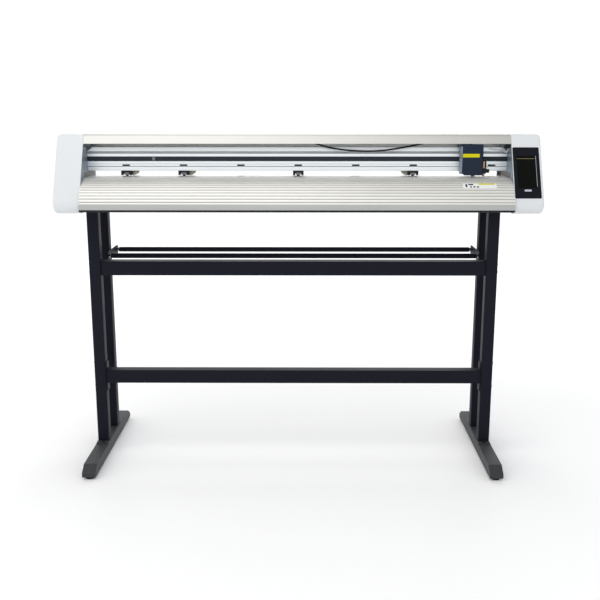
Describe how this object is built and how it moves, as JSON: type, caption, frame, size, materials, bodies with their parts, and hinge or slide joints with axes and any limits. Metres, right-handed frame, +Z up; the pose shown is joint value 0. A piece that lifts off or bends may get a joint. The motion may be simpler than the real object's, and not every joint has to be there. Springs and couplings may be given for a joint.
{
  "type": "printer cutter",
  "caption": "Wide vinyl cutting plotter on a dark floor stand, with a ribbed front guide, a carriage on a beam, pinch rollers, end caps and roll bars.",
  "frame": {"origin": "floor level, at the middle of the overall box", "axes": "+X to the operator's right along the beam, +Y to the back, +Z up; the front faces -Y"},
  "size_m": [1.65, 0.6, 1.148],
  "materials": {
    "anodised": "satin anodised, pale champagne",
    "beam_alloy": "satin anodised, cool silver",
    "belt_rubber": "matte black",
    "black_plastic": "satin black",
    "bright_steel": "turned",
    "cable": "satin black sheath",
    "circuit": "green solder mask",
    "copper": "satin copper colour",
    "display_gloss": "glossy, switched off",
    "foot_paint": "dark grey powder coat",
    "lever_plastic": "satin beige grey",
    "motor_paint": "satin black",
    "navy_plastic": "satin dark navy",
    "panel_gloss": "glossy black",
    "plate_steel": "blue-grey paint, satin",
    "powder_coat": "navy-black powder coat, satin",
    "rubber": "matte black",
    "strip_plastic": "matte off-white",
    "white_plastic": "satin moulded white",
    "wire": "satin white"
  },
  "bodies": {
    "machine": {"foot_left": "foot_paint", "foot_pad_front_left": "rubber", "foot_pad_rear_left": "rubber", "post_front_left": "powder_coat", "post_rear_left": "powder_coat", "top_plate_left": "powder_coat", "roll_bracket_left": "powder_coat", "side_plate_left": "plate_steel", "end_cap_left": "white_plastic", "foot_right": "foot_paint", "foot_pad_front_right": "rubber", "foot_pad_rear_right": "rubber", "post_front_right": "powder_coat", "post_rear_right": "powder_coat", "top_plate_right": "powder_coat", "roll_bracket_right": "powder_coat", "side_plate_right": "plate_steel", "end_cap_right": "white_plastic", "crossbar_upper": "powder_coat", "crossbar_lower": "powder_coat", "base_frame": "foot_paint", "top_cover": "anodised", "apron_front": "anodised", "apron_rear": "anodised", "platen": "anodised", "beam": "beam_alloy", "cutting_strip": "strip_plastic", "control_panel": "panel_gloss", "display": "display_gloss", "drive_belt": "belt_rubber", "power_inlet": "black_plastic", "carriage_motor": "motor_paint", "feed_motor": "motor_paint", "mainboard": "circuit", "limit_sensor": "wire", "carriage_cable": "cable"},
    "carriage": {"carriage_base": "plate_steel", "carriage_cover": "navy_plastic"},
    "tool": {"tool_slide": "black_plastic"},
    "blade": {"blade_holder": "copper"},
    "knob": {"clamp_knob": "black_plastic"},
    "motor_pulley": {"drive_pulley": "bright_steel"},
    "end_pulley": {"idler_pulley": "bright_steel"},
    "feed": {"feed_shaft": "bright_steel"},
    "bar_front": {"roll_bar_front": "powder_coat"},
    "bar_rear": {"roll_bar_rear": "powder_coat"},
    "rocker": {"power_switch": "black_plastic"},
    "pinch_1": {"pinch_bracket_1": "black_plastic"},
    "arm_1": {"pinch_arm_1": "lever_plastic"},
    "roller_1": {"pinch_roller_1": "rubber"},
    "pinch_2": {"pinch_bracket_2": "black_plastic"},
    "arm_2": {"pinch_arm_2": "lever_plastic"},
    "roller_2": {"pinch_roller_2": "rubber"},
    "pinch_3": {"pinch_bracket_3": "black_plastic"},
    "arm_3": {"pinch_arm_3": "lever_plastic"},
    "roller_3": {"pinch_roller_3": "rubber"},
    "pinch_4": {"pinch_bracket_4": "black_plastic"},
    "arm_4": {"pinch_arm_4": "lever_plastic"},
    "roller_4": {"pinch_roller_4": "rubber"}
  },
  "joints": [
    {"name": "carriage_travel", "type": "slide", "parent": "machine", "child": "carriage", "axis": [1, 0, 0], "range_m": [-1.27, 0.045], "deforming": ["carriage_cable"]},
    {"name": "tool_lift", "type": "slide", "parent": "carriage", "child": "tool", "axis": [0, 0, 1], "range_m": [0, 0.006]},
    {"name": "blade_lift", "type": "slide", "parent": "tool", "child": "blade", "axis": [0, 0, 1], "range_m": [0, 0.03]},
    {"name": "knob_turn", "type": "hinge", "parent": "tool", "child": "knob", "pos_m": [0.652, -0.02, 1.023], "axis": [1, 0, 0], "continuous": true},
    {"name": "motor_pulley_turn", "type": "hinge", "parent": "machine", "child": "motor_pulley", "pos_m": [0.765, 0.0238, 1.0625], "axis": [0, 0, 1], "continuous": true},
    {"name": "end_pulley_turn", "type": "hinge", "parent": "machine", "child": "end_pulley", "pos_m": [-0.772, 0.0238, 1.0625], "axis": [0, 0, 1], "continuous": true},
    {"name": "feed_turn", "type": "hinge", "parent": "machine", "child": "feed", "pos_m": [0, 0.02, 0.9945], "axis": [1, 0, 0], "continuous": true},
    {"name": "pinch_travel_1", "type": "slide", "parent": "machine", "child": "pinch_1", "axis": [1, 0, 0], "range_m": [-0.11, 0.135]},
    {"name": "pinch_lift_1", "type": "hinge", "parent": "pinch_1", "child": "arm_1", "pos_m": [-0.6, 0.05, 1.012], "axis": [-1, 0, 0], "range_deg": [0, 6]},
    {"name": "pinch_spin_1", "type": "hinge", "parent": "arm_1", "child": "roller_1", "pos_m": [-0.6, 0.02, 1.0099], "axis": [1, 0, 0], "continuous": true},
    {"name": "pinch_travel_2", "type": "slide", "parent": "machine", "child": "pinch_2", "axis": [1, 0, 0], "range_m": [-0.135, 0.335]},
    {"name": "pinch_lift_2", "type": "hinge", "parent": "pinch_2", "child": "arm_2", "pos_m": [-0.4, 0.05, 1.012], "axis": [-1, 0, 0], "range_deg": [0, 6]},
    {"name": "pinch_spin_2", "type": "hinge", "parent": "arm_2", "child": "roller_2", "pos_m": [-0.4, 0.02, 1.0099], "axis": [1, 0, 0], "continuous": true},
    {"name": "pinch_travel_3", "type": "slide", "parent": "machine", "child": "pinch_3", "axis": [1, 0, 0], "range_m": [-0.335, 0.335]},
    {"name": "pinch_lift_3", "type": "hinge", "parent": "pinch_3", "child": "arm_3", "pos_m": [0, 0.05, 1.012], "axis": [-1, 0, 0], "range_deg": [0, 6]},
    {"name": "pinch_spin_3", "type": "hinge", "parent": "arm_3", "child": "roller_3", "pos_m": [0, 0.02, 1.0099], "axis": [1, 0, 0], "continuous": true},
    {"name": "pinch_travel_4", "type": "slide", "parent": "machine", "child": "pinch_4", "axis": [1, 0, 0], "range_m": [-0.335, 0.3]},
    {"name": "pinch_lift_4", "type": "hinge", "parent": "pinch_4", "child": "arm_4", "pos_m": [0.4, 0.05, 1.012], "axis": [-1, 0, 0], "range_deg": [0, 6]},
    {"name": "pinch_spin_4", "type": "hinge", "parent": "arm_4", "child": "roller_4", "pos_m": [0.4, 0.02, 1.0099], "axis": [1, 0, 0], "continuous": true},
    {"name": "roll_bar_front_turn", "type": "hinge", "parent": "machine", "child": "bar_front", "pos_m": [-0.018, 0.06, 0.712], "axis": [1, 0, 0], "continuous": true},
    {"name": "roll_bar_rear_turn", "type": "hinge", "parent": "machine", "child": "bar_rear", "pos_m": [-0.018, 0.205, 0.712], "axis": [1, 0, 0], "continuous": true},
    {"name": "power_rocker", "type": "hinge", "parent": "machine", "child": "rocker", "pos_m": [0.8165, 0.084, 0.928], "axis": [0, 1, 0], "range_deg": [0, 16]}
  ],
  "couplings": [
    {"joint": "motor_pulley_turn", "follows": "carriage_travel", "rad_per_m": 71.429},
    {"joint": "end_pulley_turn", "follows": "carriage_travel", "rad_per_m": 71.429}
  ]
}
